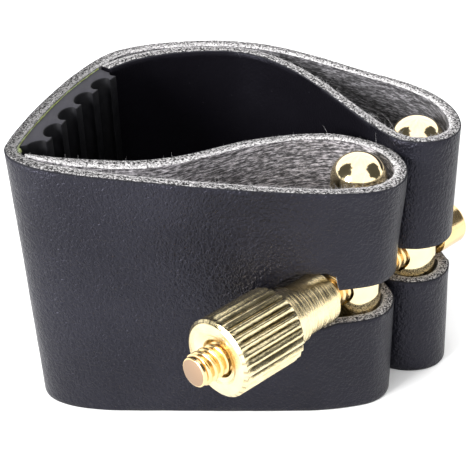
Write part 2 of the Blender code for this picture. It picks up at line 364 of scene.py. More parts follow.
def slot_halves(grain, flesh, slot):
    """The slot's depth below and height above the screw at a station, or None."""
    pin, start, end, drop, bodies = slot
    away = grain - pin
    if not start <= math.degrees(math.atan2(away[1], away[0])) <= end:
        return None
    halves = [SLOT_HALF + drop, SLOT_HALF - drop]
    for rest, swing, reach, *rooms in bodies:
        off = min(swing_distance(p, pin, rest, swing, reach) for p in (grain, flesh))
        for side, room in enumerate(rooms):
            if off < rooms[0]:
                halves[side] = max(halves[side], room * math.sqrt(1 - (off / rooms[0])**2))
    return halves


# Strap skins

ACROSS = (0.0, 0.05, 0.16, 0.36, 0.6, 0.82, 0.95, 1.0)  # points of the cut edge's round


def grain_swell(along, z):
    """How far the grain side stands out: the slow unevenness of a bent strip."""
    slow = 0.09 * rough(along / 11, z / 13, 3.1)
    return slow + 0.03 * rough(along / 3.1, z / 3.7, 8.4)


def flesh_swell(along, z):
    """How far the flesh side stands out: brushed fibre in low, long tufts."""
    return 0.05 * rough(along / 1.6, z / 0.8, 5.2) + 0.03 * rough(along / 0.5, z / 0.35, 1.7)


def edge_rise(along, across, side):
    """The cut edge's unevenness: a slow wave from the knife, and torn fibre."""
    wave = 0.07 * rough(along / 5.0, side, 2.2)
    torn = 0.05 * rough(along / 0.45, across * 3, 6.0 + side)
    return wave + torn * (0.4 + 0.9 * across)


class Skin(Build):
    """A stretch of the strip as a closed mesh, with a slot if it has one."""

    def __init__(self, start, end, slot, loose_start, loose_end):
        super().__init__()
        count = max(8, round((end - start) / STATION))
        self.along = np.linspace(start, end, count + 1)
        ends = ((-1, loose_start), (count, loose_end))
        self.joined = [beyond for beyond, loose in ends if not loose]
        self.grain = [STRIP.point(a) for a in self.along]
        self.normal = [STRIP.inward(a) for a in self.along]
        self.thick = [thickness(a) for a in self.along]
        self.halves = [
            slot_halves(g, g + n * t, slot) if slot else None
            for g, n, t in zip(self.grain, self.normal, self.thick)
        ]
        self.low_rows = round((SCREW_HEIGHT - SLOT_HALF) / ROW)
        self.mid_rows = round(2 * SLOT_HALF / ROW)
        self.high_rows = round((CREASE_HEIGHT - SCREW_HEIGHT - SLOT_HALF) / ROW)
        self.rows = self.low_rows + self.mid_rows + self.high_rows
        self.levels = [self.level(i) for i in range(count + 1)]
        self.sides = [
            [[self.point(self.at(i, z, side)) for z in self.levels[i]] for i in range(count + 1)]
            for side in (0, 1)
        ]
        self.rims = {}
        self.cells()

    def level(self, i):
        below, above = self.halves[i] or (SLOT_HALF, SLOT_HALF)
        start = SCREW_HEIGHT - below - EDGE_ROUND
        end = SCREW_HEIGHT + above + EDGE_ROUND
        top = strap_top(self.grain[i][0], self.along[i]) - EDGE_ROUND
        low = np.linspace(EDGE_ROUND, start, self.low_rows + 1)
        middle = np.linspace(start, end, self.mid_rows + 1)
        high = np.linspace(end, top, self.high_rows + 1)
        return np.concatenate([low, middle[1:], high[1:]])

    def at(self, i, z, across):
        """A point of the leather in metres: across is 0 on the grain side and 1 on the flesh."""
        a = self.along[i]
        out = -grain_swell(a, z) * (1 - across) + flesh_swell(a, z) * across
        x, y = self.grain[i] + self.normal[i] * (self.thick[i] * across + out)
        return placed(*settled(x, y, z, a), z)

    def missing(self, i, k):
        """Whether there is no leather at a cell, in the slot or past the skin's ends."""
        if not (0 <= i < len(self.along) - 1 and 0 <= k < self.rows):
            return True
        slotted = self.halves[i] and self.halves[i + 1]
        return slotted and self.low_rows <= k < self.low_rows + self.mid_rows

    def cells(self):
        """The two surfaces, and a rounded edge wherever a surface stops."""
        last = len(self.along) - 2
        outward = {}
        edges = []
        for i in range(last + 1):
            for k in range(self.rows):
                if self.missing(i, k):
                    continue
                corners = ((i, k), (i, k + 1), (i + 1, k + 1), (i + 1, k))
                uvs = [(self.along[p], self.levels[p][q]) for p, q in corners]
                grain = [self.sides[0][p][q] for p, q in corners]
                flesh = [self.sides[1][p][q] for p, q in corners[::-1]]
                self.face(grain, uvs, GRAIN)
                self.face(flesh, uvs[::-1], FLESH)
                for n, way in enumerate(((-1, 0), (0, 1), (1, 0), (0, -1))):
                    if not self.missing(i + way[0], k + way[1]):
                        continue
                    p, q = corners[n], corners[(n + 1) % 4]
                    # A skin's last end takes the grain's dark material rather than the cut edge's:
                    # at the rear lining's loose end this is painted shade, as that end faces the
                    # fold.
                    edges.append((p, q, way, GRAIN if i == last and way[0] else CUT))
                    for corner in (p, q):
                        push = outward.setdefault(corner, np.zeros(2))
                        if i + way[0] not in self.joined:
                            push += way
        for p, q, way, kind in edges:
            self.rim_faces(p, q, way, outward, kind)

    def rim(self, corner, outward):
        """The points across the cut edge at a corner of the surface."""
        if corner in self.rims:
            return self.rims[corner]
        i, k = corner
        z = self.levels[i][k]
        push = outward[corner]
        size = np.linalg.norm(push)
        push = push / size if size else push
        tangent = np.array((-self.normal[i][1], self.normal[i][0]))
        found = [self.sides[0][i][k]]
        for across in ACROSS[1:-1]:
            out = EDGE_ROUND * (1 - abs(2 * across - 1) ** 3)
            out += edge_rise(self.along[i] + 0.7 * abs(push[0]) * z, across, push[1])
            level = max(z + out * push[1], FOOT)
            base = np.array(self.at(i, level, across))
            base[:2] += tangent * out * push[0] * MM
            found.append(self.point(base))
        found.append(self.sides[1][i][k])
        self.rims[corner] = found
        return found

    def rim_faces(self, p, q, way, outward, kind):
        ends = [self.rim(c, outward) for c in (p, q)]
        far = [self.along[i] if way[1] else END_U + self.levels[i][k] for i, k in (p, q)]
        for n in range(len(ACROSS) - 1):
            low, high = EDGE_V + ACROSS[n] * LEATHER, EDGE_V + ACROSS[n + 1] * LEATHER
            self.face(
                (ends[1][n], ends[0][n], ends[0][n + 1], ends[1][n + 1]),
                ((far[1], low), (far[0], low), (far[0], high), (far[1], high)),
                kind,
            )

    def flat_area(self):
        """The stretch's flat area in square metres, without its slot."""
        total = 0.0
        for i in range(len(self.along) - 1):
            wide = self.along[i + 1] - self.along[i]
            tall = strap_top(self.grain[i][0], self.along[i])
            if self.halves[i] and self.halves[i + 1]:
                tall -= sum(self.halves[i])
            total += wide * tall
        return total * MM * MM


# Shader nodes

class Nodes:
    """A node tree, built a node at a time."""

    def __init__(self, tree):
        self.tree = tree

    def set(self, node, socket, value):
        """Sets a socket to a number, or links it to a node's output."""
        if isinstance(value, bpy.types.NodeSocket):
            self.tree.links.new(value, node.inputs[socket])
        else:
            node.inputs[socket].default_value = value

    def node(self, kind, **sockets):
        made = self.tree.nodes.new(kind)
        for name, value in sockets.items():
            self.set(made, name, value)
        return made

    def surface(self, across=1.0, up=1.0):
        """UV coordinates in millimetres, scaled along the strip and up it."""
        uv = self.node("ShaderNodeUVMap")
        uv.uv_map = "Surface"
        mapping = self.node("ShaderNodeMapping", Vector=uv.outputs["UV"])
        self.set(mapping, "Scale", (across, up, 1.0))
        return mapping.outputs["Vector"]

    def place(self, axis):
        """One UV coordinate in millimetres."""
        return self.node("ShaderNodeSeparateXYZ", Vector=self.surface()).outputs[axis]

    def noise(self, vector, scale, detail=3.0, roughness=0.55):
        made = self.node("ShaderNodeTexNoise", Vector=vector, Scale=scale, Detail=detail)
        self.set(made, "Roughness", roughness)
        return made.outputs["Fac"]

    def cells(self, vector, scale, feature="DISTANCE_TO_EDGE"):
        made = self.node("ShaderNodeTexVoronoi", Vector=vector, Scale=scale)
        made.feature = feature
        return made.outputs["Distance"]

    def ramp(self, factor, stops):
        """A colour ramp with stops of (position, grey or colour)."""
        made = self.node("ShaderNodeValToRGB", Fac=factor)
        ramp = made.color_ramp
        while len(ramp.elements) < len(stops):
            ramp.elements.new(0.5)
        for element, (position, colour) in zip(ramp.elements, stops):
            grey = not hasattr(colour, "__len__")
            element.position = position
            element.color = (colour,) * 3 + (1,) if grey else (*colour, 1)
        return made.outputs["Color"]

    def mix(self, factor, a, b, blend="MIX"):
        made = self.node("ShaderNodeMix")
        made.data_type = "RGBA"
        made.blend_type = blend
        for socket, value in ((0, factor), (6, a), (7, b)):
            self.set(made, socket, (*value, 1) if isinstance(value, tuple) else value)
        return made.outputs[2]

    def math(self, operation, a, b=0.0, kind="ShaderNodeMath", output="Value"):
        made = self.node(kind)
        made.operation = operation
        self.set(made, 0, a)
        self.set(made, 1, b)
        return made.outputs[output]

    def straight(self, value, slope, start):
        """The value times a slope, plus a start."""
        return self.math("ADD", self.math("MULTIPLY", value, slope), start)

    def bump(self, height, depth, strength=1.0, under=None):
        """A bump of a depth in millimetres, which can lie on another."""
        made = self.node("ShaderNodeBump", Height=height, Strength=strength)
        self.set(made, "Distance", depth * MM)
        if under:
            self.set(made, "Normal", under)
        return made.outputs["Normal"]


class Material(Nodes):
    """A material with its Principled shader."""

    def __init__(self, name, colour, roughness, metallic=0.0, specular=0.5):
        self.material = bpy.data.materials.new(name)
        self.material.use_nodes = True
        self.material.diffuse_color = (*colour, 1.0)
        super().__init__(self.material.node_tree)
        self.shader = self.tree.nodes["Principled BSDF"]
        self.show("Base Color", (*colour, 1.0))
        self.show("Roughness", roughness)
        self.show("Metallic", metallic)
        self.show("Specular IOR Level", specular)

    def show(self, socket, value):
        self.set(self.shader, socket, value)


def leather_grain():
    """Finished outer side: fine pebbled grain, soft sheen, faint dust and rubbing. It is
    pressed flat and less glossy where it lines the band."""
    m = Material("leather_grain", (0.016, 0.016, 0.021), 0.42)
    plain = m.surface()
    span = STRIP.length
    outside = m.ramp(m.math("DIVIDE", m.place("X"), span), [
        (30 / span, 0.0), (36 / span, 1.0), (1 - 42 / span, 1.0), (1 - 35 / span, 0.0)
    ])
    cloudy = m.noise(plain, 0.12, 4.0)
    tone = m.ramp(cloudy, [(0.35, (0.0024, 0.0024, 0.0039)), (0.7, (0.006, 0.006, 0.0088))])
    tone = m.mix(outside, (0.0035, 0.0032, 0.0045), tone)
    dust = m.ramp(m.noise(plain, 2.4, 2.0), [(0.72, 0.0), (0.78, 1.0)])
    m.show("Base Color", m.mix(m.math("MULTIPLY", dust, 0.3), tone, (0.07, 0.07, 0.08)))
    rubbed = m.ramp(m.noise(plain, 0.35, 5.0), [(0.3, 0.30), (0.75, 0.42)])
    m.show("Roughness", rubbed)
    pebbles = m.cells(m.surface(1.0, 0.85), 2.7, "SMOOTH_F1")
    creases = m.ramp(m.cells(m.surface(1.1, 0.8), 2.6), [(0.0, 0.0), (0.22, 1.0)])
    relief = m.straight(outside, 0.4, 0.2)
    normal = m.bump(creases, 0.055, relief)
    normal = m.bump(pebbles, 0.14, relief, normal)
    normal = m.bump(m.noise(plain, 4.4, 3.0), 0.11, relief, normal)
    m.show("Normal", normal)
    m.show("Specular IOR Level", m.straight(outside, 0.17, 0.09))
    m.show("Specular Tint", (0.80, 0.79, 1.0, 1.0))
    return m.material


def leather_flesh(name, light):
    """Suede side: grey fibre brushed along the strip, in light and dark streaks."""
    m = Material(name, (0.2, 0.195, 0.205), 0.95, specular=0.1)
    streaks = m.noise(m.surface(0.55, 3.4), 1.0, 6.0, 0.7)
    fine = m.noise(m.surface(1.6, 7.5), 1.0, 4.0, 0.7)
    patches = m.noise(m.surface(0.25, 0.4), 1.0, 3.0)
    tone = m.ramp(m.mix(0.5, streaks, fine), [
        (0.42, (0.007, 0.006, 0.008)),
        (0.5, tuple(0.22 * c for c in light)),
        (0.585, light),
    ])
    shade = m.ramp(patches, [(0.3, 0.6), (0.7, 1.0)])
    m.show("Base Color", m.mix(1.0, tone, shade, "MULTIPLY"))
    normal = m.bump(streaks, 0.16, 0.8)
    m.show("Normal", m.bump(fine, 0.07, 0.8, normal))
    m.show("Sheen Weight", 0.15)
    m.show("Sheen Roughness", 0.6)
    return m.material


def leather_cut():
    """Cut edge: a dark skin line on the grain side, then speckled grey fibre that grows
    paler and looser towards the flesh side."""
    m = Material("leather_cut", (0.2, 0.19, 0.19), 0.9, specular=0.15)
    across = m.math("DIVIDE", m.math("SUBTRACT", m.place("Y"), EDGE_V), LEATHER)
    span = STRIP.length
    # The edge is darker round the crease and along the pad, and full tone towards both ends.
    darker_round_crease = m.ramp(m.math("DIVIDE", m.place("X"), span), [
        ((CREASE_ALONG - 9) / span, 1.0), ((CREASE_ALONG - 1) / span, 0.45),
        ((CREASE_ALONG + 17) / span, 0.5), ((CREASE_ALONG + 28) / span, 1.0),
    ])
    specks = m.noise(m.surface(1.0, 1.2), 4.2, 3.0, 0.8)
    tufts = m.noise(m.surface(0.7, 1.6), 2.2, 4.0, 0.7)
    fluff = m.ramp(across, [(0.55, 0.0), (0.9, 1.0)])
    lift = m.straight(fluff, 0.06, m.mix(0.3, specks, tufts))
    tone = m.ramp(lift, [
        (0.445, (0.002, 0.002, 0.002)),
        (0.485, (0.07, 0.067, 0.068)),
        (0.525, (0.32, 0.312, 0.314)),
        (0.62, (0.70, 0.683, 0.688)),
    ])
    tone = m.mix(1.0, tone, darker_round_crease, "MULTIPLY")
    wobble = m.straight(m.noise(m.surface(), 3.0), 0.12, across)
    skin = m.ramp(wobble, [(0.15, 1.0), (0.22, 0.0)])
    m.show("Base Color", m.mix(skin, tone, (0.014, 0.014, 0.018)))
    m.show("Normal", m.bump(specks, 0.15, 0.9))
    return m.material


def loose_fibre():
    m = Material("loose_fibre", (0.55, 0.54, 0.55), 0.8, specular=0.2)
    varied = m.noise(m.surface(), 0.9, 2.0)
    m.show("Base Color", m.ramp(varied, [(0.35, 0.12), (0.6, (0.72, 0.71, 0.72))]))
    return m.material


def rubber(name, dark, light):
    """Rubber: matt blue-grey with a faint bloom, and drawn lines down its moulded ribs."""
    m = Material(name, dark, 0.6, specular=0.18)
    bloom = m.noise(m.surface(), 1.1, 5.0, 0.65)
    tone = m.ramp(bloom, [(0.35, dark), (0.7, light)])
    # Painted shade: the sides darken towards their foot, deep inside the loop; the cut caps keep
    # full tone.
    painted_shade_low = m.ramp(m.math("DIVIDE", m.place("Y"), CREASE_HEIGHT), [(0.6, 0.3), (0.95, 1.0)])
    m.show("Base Color", m.mix(1.0, tone, painted_shade_low, "MULTIPLY"))
    m.show("Roughness", m.ramp(bloom, [(0.3, 0.5), (0.7, 0.68)]))
    normal = m.bump(m.noise(m.surface(3.0, 0.15), 1.0, 3.0), 0.05, 0.5)
    m.show("Normal", m.bump(m.noise(m.surface(), 4.0, 3.0), 0.04, 0.5, normal))
    return m.material


def glue():
    """Dried contact adhesive: cloudy yellow-green, with paler skinned-over patches."""
    m = Material("glue", (0.42, 0.45, 0.14), 0.35)
    cloud = m.noise(m.surface(), 1.3, 4.0, 0.6)
    m.show("Base Color", m.ramp(cloud, [
        (0.36, (0.07, 0.08, 0.02)),
        (0.5, (0.24, 0.27, 0.05)),
        (0.62, (0.33, 0.42, 0.30)),
    ]))
    m.show("Subsurface Weight", 0.2)
    m.show("Subsurface Radius", (0.0006, 0.0006, 0.0003))
    m.show("Normal", m.bump(cloud, 0.12, 0.6))
    return m.material


def gold(name, roughness, lines=0.0, grit=0.0, tint=(0.92, 0.78, 0.48), grooves=0):
    """Polished gold plate, with turning lines round a piece, a grit of fine pits and painted
    shade in the bottoms of its grooves, whose pitch in millimetres is given."""
    m = Material(name, tint, roughness, 1.0)
    wear = m.noise(m.surface(), 0.5, 5.0)
    deep = tuple(c * k for c, k in zip(tint, (0.93, 0.9, 0.82)))
    colour = m.ramp(wear, [(0.3, deep), (0.6, tint)])
    if grooves:
        # Painted shade along the bottom of each groove.
        phase = m.math("FRACT", m.math("DIVIDE", m.place("X"), grooves))
        groove_shade = m.ramp(phase, [(0.28, 1.0), (0.41, 0.75), (0.5, 0.3), (0.59, 0.75), (0.72, 1.0)])
        specks = m.ramp(m.noise(m.surface(5.0, 0.7), 1.0, 4.0, 0.7), [(0.36, 0.65), (0.52, 1.0)])
        colour = m.mix(1.0, m.mix(1.0, colour, groove_shade, "MULTIPLY"), specks, "MULTIPLY")
    m.show("Base Color", colour)
    m.show("Roughness", m.ramp(wear, [(0.3, roughness * 0.8), (0.7, roughness * 1.3)]))
    normal = None
    if lines:
        turned = m.noise(m.surface(0.03, 7.0), 1.0, 4.0, 0.75)
        normal = m.bump(turned, lines, 1.0)
    if grit:
        normal = m.bump(m.noise(m.surface(5.0, 1.6), 1.0, 3.0, 0.7), grit, 1.0, normal)
    if normal:
        m.show("Normal", normal)
    return m.material


def copper_cut():
    """The screw's sawn and plated end, rosier than the rest."""
    m = Material("screw_end", (0.37, 0.25, 0.165), 0.38, 1.0)
    m.show("Normal", m.bump(m.noise(m.surface(0.4, 4.0), 1.0, 3.0), 0.03, 0.8))
    return m.material


# Pieces: strap

def strap_stretches():
    """(name, its CAD nodes, start, end, slot, whether each end is free) of the three skins."""
    front, rear = slots()
    parts = ("lining", "loop", "run")
    return (
        ("strap_front", ["strap_front_" + part for part in parts],
         0.0, CREASE_FROM, front, True, False),
        ("strap_fold", ["strap_crease"], CREASE_FROM, CREASE_END, None, False, False),
        ("strap_rear", ["strap_rear_" + part for part in parts],
         CREASE_END, STRIP.length, rear, False, True),
    )


def attach(piece, name):
    """Rides a piece on its half of the band, or leaves the fold piece fixed where it stands;
    the points where the crease's turning starts a little behind and ends a little in front go
    unused."""
    if name != "strap_fold":
        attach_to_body(piece, "front_band" if name == "strap_front" else "rear_band")
        return
    start, end = (
        placed(*STRIP.point(CREASE_ALONG + past), CREASE_HEIGHT / 2) for past in (3.0, -5.0)
    )
    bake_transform(piece)


def add_strap():
    grain, cut = leather_grain(), leather_cut()
    pale = leather_flesh("leather_flesh_front", (0.64, 0.605, 0.64))
    # The rear skin's suede is a darker copy of the front's: painted shade for the deeper rear
    # pocket.
    flesh_painted_shade = leather_flesh("leather_flesh_rear_painted_shade", (0.27, 0.26, 0.277))
    fibres = loose_fibre()
    for index, (name, nodes, start, end, *rest) in enumerate(strap_stretches()):
        skin = Skin(start, end, *rest)
        # The rear skin takes the darker suede, which is painted shade.
        flesh = flesh_painted_shade if name == "strap_rear" else pale
        piece = skin.finish(name, [grain, flesh, cut], sharp=62)
        attach(piece, name)
        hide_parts(*nodes)
        skin.flat_area()
        hairs = add_fibres(name + "_fibres", skin, fibres, seed=11 + index)
        attach(hairs, name)


def hair(build, root, way, bend, length, seed):
    """A fibre: a thin three-sided tube along a bent line."""
    way, bend = Vector(way).normalized(), Vector(bend)
    side = way.orthogonal().normalized()
    other = way.cross(side)
    spokes = [side * math.cos(a) + other * math.sin(a) for a in np.arange(3) * 2 * math.pi / 3]
    steps, rings = 4, []
    for n in range(steps + 1):
        t = n / steps
        centre = Vector(root) + (way * t + bend * t * t) * length * MM
        thin = FIBRE_RADIUS * (1 - 0.75 * t) * MM
        rings.append([build.point(centre + spoke * thin) for spoke in spokes])
    shade = seed * 7.31 % 50
    mark = ((shade, 0), (shade, 1), (shade, 2), (0, 0))
    for low, high in zip(rings, rings[1:]):
        for k in range(3):
            j = (k + 1) % 3
            build.face((low[k], low[j], high[j], high[k]), mark)
    build.face(rings[0][::-1], mark[:3])
    build.face(rings[-1], mark[:3])


def add_fibres(name, skin, material, seed):
    """Loose fibres along the flesh side's edges, at the top and round the slot."""
    rng = np.random.default_rng(seed)
    build = Build()
    count = 0
    for i in range(1, len(skin.along) - 1):
        edges = [(skin.rows, 1.0, 3.0)]
        if skin.halves[i]:
            edges += [(skin.low_rows, 1.0, 1.0), (skin.low_rows + skin.mid_rows, -1.0, 0.6)]
        for row, up, per_station in edges:
            for _ in range(rng.poisson(per_station)):
                z = skin.levels[i][row]
                across = rng.uniform(0.75, 1.0) if rng.random() < 0.8 else rng.uniform(0.1, 1.0)
                root = skin.at(i, z + up * EDGE_ROUND * 0.3, across)
                n = skin.normal[i]
                tangent = np.array((-n[1], n[0]))
                lateral = n * rng.normal(0.25, 0.5) + tangent * rng.normal(0, 0.8)
                rise = up * (0.15 + abs(rng.normal(0, 0.6))) if up > 0 else up * 0.1
                bend = rng.normal(0, 0.45, 3)
                if up < 0:
                    bend[2] = abs(bend[2])
                length = min(0.12 + rng.exponential(0.19), LONGEST_FIBRE)
                hair(build, root, (*lateral, rise), bend, length, count)
                count += 1
    return build.finish(name, [material], sharp=180)


# Pieces: pad and glue

def pad_line():
    """The pad's two ends, as distances along the strip."""
    return CREASE_ALONG + PAD_FROM, CREASE_ALONG + PAD_TO


def groove_profile():
    """One pitch of the pad's inner face as (distance along, depth), from the middle of one
    ridge to the next: a round groove that undercuts the ridges' tips a little."""
    middle, lip, shallow = PAD_PITCH / 2, GROOVE_MOUTH + 0.14, 0.08
    found = [(0.0, 0.0), (middle - lip, 0.0)]
    steps = 18
    for n in range(steps + 1):
        a = math.pi * n / steps
        deep = math.sin(a)
        swell = math.sin(min(deep * 1.9, 1.0) * math.pi / 2)
        half = GROOVE_MOUTH + (GROOVE_BELLY - GROOVE_MOUTH) * swell
        found.append((middle - half * math.cos(a), shallow + (PAD_RIDGE - shallow) * deep**0.85))
    return found + [(middle + lip, 0.0), (PAD_PITCH, 0.0)]


def pad_outline():
    """The pad in plan, anticlockwise: its grooved face, then its back along the strap."""
    start, end = pad_line()
    back = Line([
        STRIP.point(a) + STRIP.inward(a) * PAD_BACK for a in np.linspace(start, end, 120)
    ])
    face = []
    for groove in range(PAD_GROOVES):
        for along, deep in groove_profile()[:-1]:
            at = groove * PAD_PITCH + along + GROOVE_OFFSET
            if not 0.3 < at < back.length:
                continue
            n = back.inward(at, 0.8)
            thin = 0.55 + 0.45 * smooth_step(at, 0.3, 2.2)
            face.append(back.point(at) + n * (PAD_BASE + PAD_RIDGE - deep) * thin)
    return face + [back.point(a) for a in np.linspace(back.length, 0, 90)]


def add_pad():
    outline = pad_outline()
    build = Build()
    line = Line(outline + outline[:1])
    count = len(outline)
    rows = 14
    levels = [(n / rows, 0.0, 0.0) for n in range(rows)]  # share of the height, drop, inset
    bevel = ((1, 0), (0.3, 0.3), (0, 1))
    levels += [(1.0, drop * PAD_BEVEL, inset * PAD_BEVEL) for drop, inset in bevel]
    rings = []
    for share, drop, inset in levels:
        ring = []
        for n, p in enumerate(outline):
            step = np.array(outline[(n + 1) % count]) - np.array(outline[n - 1])
            inward = np.array((-step[1], step[0])) / max(np.linalg.norm(step), 1e-6)
            x, y = p + inward * inset
            top = top_height(x) - PAD_DROP + 0.05 * rough(x / 2.3, y / 2.3, 4.4)
            z = share * (top - PAD_BEVEL) if share < 1 else top - drop
            ring.append(build.point(placed(x, y, max(z, FOOT))))
        rings.append(ring)
    build.tube(rings, lambda i, k: (line.at[k], build.points[rings[i][k % count]][2] / MM))
    for corners in (rings[0][::-1], rings[-1]):
        uvs = [(build.points[v][0] / MM, CREASE_HEIGHT) for v in corners]
        build.face(corners, uvs, 1)
    # The moulded ribs are near black: partly the rubber's own black, partly painted shade inside
    # the loop.
    moulded = rubber("pad_moulded", (0.003, 0.003, 0.004), (0.008, 0.008, 0.010))
    sliced = rubber("pad_sliced", (0.022, 0.021, 0.027), (0.042, 0.041, 0.050))
    piece = build.finish("grooved_pad", [moulded, sliced], sharp=35)
    bm = bmesh.new()
    bm.from_mesh(piece.data)
    bmesh.ops.triangulate(bm, faces=[f for f in bm.faces if len(f.verts) > 4])
    bm.to_mesh(piece.data)
    bm.free()
    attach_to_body(piece, "rear_band")
    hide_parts("groove_pad")


def add_glue():
    """The film's squeezed-out edge behind the pad, and a drop of it in the fold."""
    start, end = pad_line()
    build = Build()
    rings = []
    stations = np.linspace(start - 0.4, end - 0.2, 150)
    for along in stations:
        wide = 0.09 + 0.05 * rough(along / 0.8, 4.0) + 0.04 * rough(along / 0.25, 9.0)
        middle = (thickness(along) + PAD_BACK) / 2 + 0.03 + 0.04 * rough(along / 1.3, 7.0)
        g, n = STRIP.point(along), STRIP.inward(along)
        top = top_height(g[0]) - 0.22 + 0.10 * rough(along / 0.9, 2.0)
        section = [(-wide, 0.5), (-wide, top - 0.25), (-wide * 0.6, top - 0.06), (0, top)]
        section += [(-off, z) for off, z in section[-2::-1]]
        rings.append([build.point(placed(*(g + n * (middle + off)), z)) for off, z in section])
    build.tube(rings, lambda i, k: (stations[i], k), flip=True)
    mark = [(stations[0], k) for k in range(len(rings[0]))]
    build.face(rings[0], mark)
    build.face(rings[-1][::-1], mark)
    skin = glue()
    film = build.finish("glue_line", [skin], sharp=60)
    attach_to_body(film, "rear_band")
    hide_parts("pad_glue")
    drop = add_drop(skin)
    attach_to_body(drop, "rear_band")


def add_drop(skin):
    """A drop of glue that ran out at the top of the fold."""
    along = CREASE_ALONG - 0.6
    g, n = STRIP.point(along), STRIP.inward(along)
    x, y = g + n * (LEATHER + 0.32)
    centre = Vector(placed(x, y, top_height(x) - 0.35))
    build = Build()
    rings, rows, columns, radius = [], 10, 16, 0.24
    for i in range(1, rows):
        a = math.pi * i / rows
        ring = []
        for k in range(columns):
            b = 2 * math.pi * k / columns
            way = Vector((math.sin(a) * math.cos(b), math.sin(a) * math.sin(b), math.cos(a)))
            size = radius * (1 + 0.3 * rough(way.x * 1.4, way.y * 1.4, way.z * 1.4 + 5))
            ring.append(build.point(centre + Vector((way.x * 0.8, way.y * 1.5, way.z)) * size * MM))
        rings.append(ring)
    poles = [build.point(centre + Vector((0, 0, up * radius * MM))) for up in (1, -1)]
    build.tube(rings, lambda i, k: (k, i), flip=True)
    for k in range(columns):
        m = (k + 1) % columns
        build.face((poles[0], rings[0][k], rings[0][m]), ((k, 0), (k, 1), (k + 1, 1)))
        build.face((poles[1], rings[-1][m], rings[-1][k]), ((k, 0), (k + 1, 1), (k, 1)))
    return build.finish("glue_drop", [skin], sharp=180)


# Pieces: turned metal

def upright(axis):
    """Places a turned piece on a pin's vertical axis."""
    return lambda u, v, w: ((axis[0] + u) * MM, (axis[1] + v) * MM, w * MM)


def on_screw():
    """Places a turned piece on the screw's axis, at distances from the front pin."""
    way = (REAR_AXIS - FRONT_AXIS) / np.linalg.norm(REAR_AXIS - FRONT_AXIS)
    side = np.array((-way[1], way[0]))

    def place(u, v, w):
        x, y = FRONT_AXIS + way * w + side * u
        return x * MM, y * MM, (SCREW_HEIGHT + v) * MM

    return place


def turned(profile, place, segments, radius_at=None, kind_at=None):
    """A solid of revolution. profile holds (radius, distance) from its low end to its high
    one; a radius of 0 closes an end, and a profile without such an end is bored through."""
    build = Build()
    rings = []
    for radius, distance in profile:
        if radius == 0:
            rings.append([build.point(place(0, 0, distance))])
            continue
        ring = []
        for k in range(segments):
            angle = 2 * math.pi * k / segments
            r = radius_at(radius, distance, angle) if radius_at else radius
            ring.append(build.point(place(r * math.cos(angle), r * math.sin(angle), distance)))
        rings.append(ring)
    gone = Line(profile).at
    pairs = [(n, n + 1) for n in range(len(rings) - 1)]
    if profile[0][0]:
        pairs.append((len(rings) - 1, 0))
    wide = 2 * math.pi * max(r for r, _ in profile) / segments
    for a, b in pairs:
        low, high = rings[a], rings[b]
        for k in range(segments):
            corners = [
                (low[k % len(low)], (k * wide, gone[a])),
                (low[(k + 1) % len(low)], ((k + 1) * wide, gone[a])),
                (high[(k + 1) % len(high)], ((k + 1) * wide, gone[b])),
                (high[k % len(high)], (k * wide, gone[b])),
            ]
            if len(low) == 1:
                del corners[1]
            if len(high) == 1:
                del corners[2]
            build.face(*zip(*corners), kind_at(a) if kind_at else 0)
    return build


def arc(centre, radius, start, end, steps):
    """Profile points of a rounded corner, as (radius, distance)."""
    angles = [math.radians(start + (end - start) * n / steps) for n in range(steps + 1)]
    return [(centre[0] + radius * math.cos(a), centre[1] + radius * math.sin(a)) for a in angles]


def dome(foot, up, steps=26):
    """Profile of a pin's domed end, from its rim to the axis."""
    angles = [math.pi / 2 * n / steps for n in range(steps)]
    side = [(PIN_RADIUS * math.cos(a), foot + up * PIN_DOME * math.sin(a)) for a in angles]
    return side + [(0, foot + up * PIN_DOME)]


def drilled(piece, cutter):
    """Cuts a hole through a piece and leaves the result as its mesh."""
    drill = piece.modifiers.new("cross_hole", "BOOLEAN")
    drill.operation = "DIFFERENCE"
    drill.solver = "EXACT"
    drill.object = cutter
    graph = bpy.context.evaluated_depsgraph_get()
    cut = bpy.data.meshes.new_from_object(piece.evaluated_get(graph))
    piece.modifiers.remove(drill)
    piece.data = cut
    cut.set_sharp_from_angle(angle=math.radians(40))
    bpy.data.objects.remove(cutter)


def add_pin(name, material):
    """A rod with two domed ends, drilled across for the screw."""
    axis, low, high = axis_of(name)
    low, high = low + PIN_DOME, high - PIN_DOME
    shaft = [(PIN_RADIUS, z) for z in np.linspace(low, high, 16)[1:-1]]
    build = turned(dome(low, -1)[::-1] + shaft + dome(high, 1), upright(axis), 96)
    piece = build.finish(name + "_polished", [material])
    middle = float(np.linalg.norm(axis - FRONT_AXIS))
    start, end = middle - PIN_RADIUS - 1.5, middle + PIN_RADIUS + 1.5
    bore = [(0, start), (BORE_RADIUS, start), (BORE_RADIUS, end), (0, end)]
    drilled(piece, turned(bore, on_screw(), 48).finish(name + "_bore", [material]))
    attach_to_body(piece, name)
    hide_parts(name)


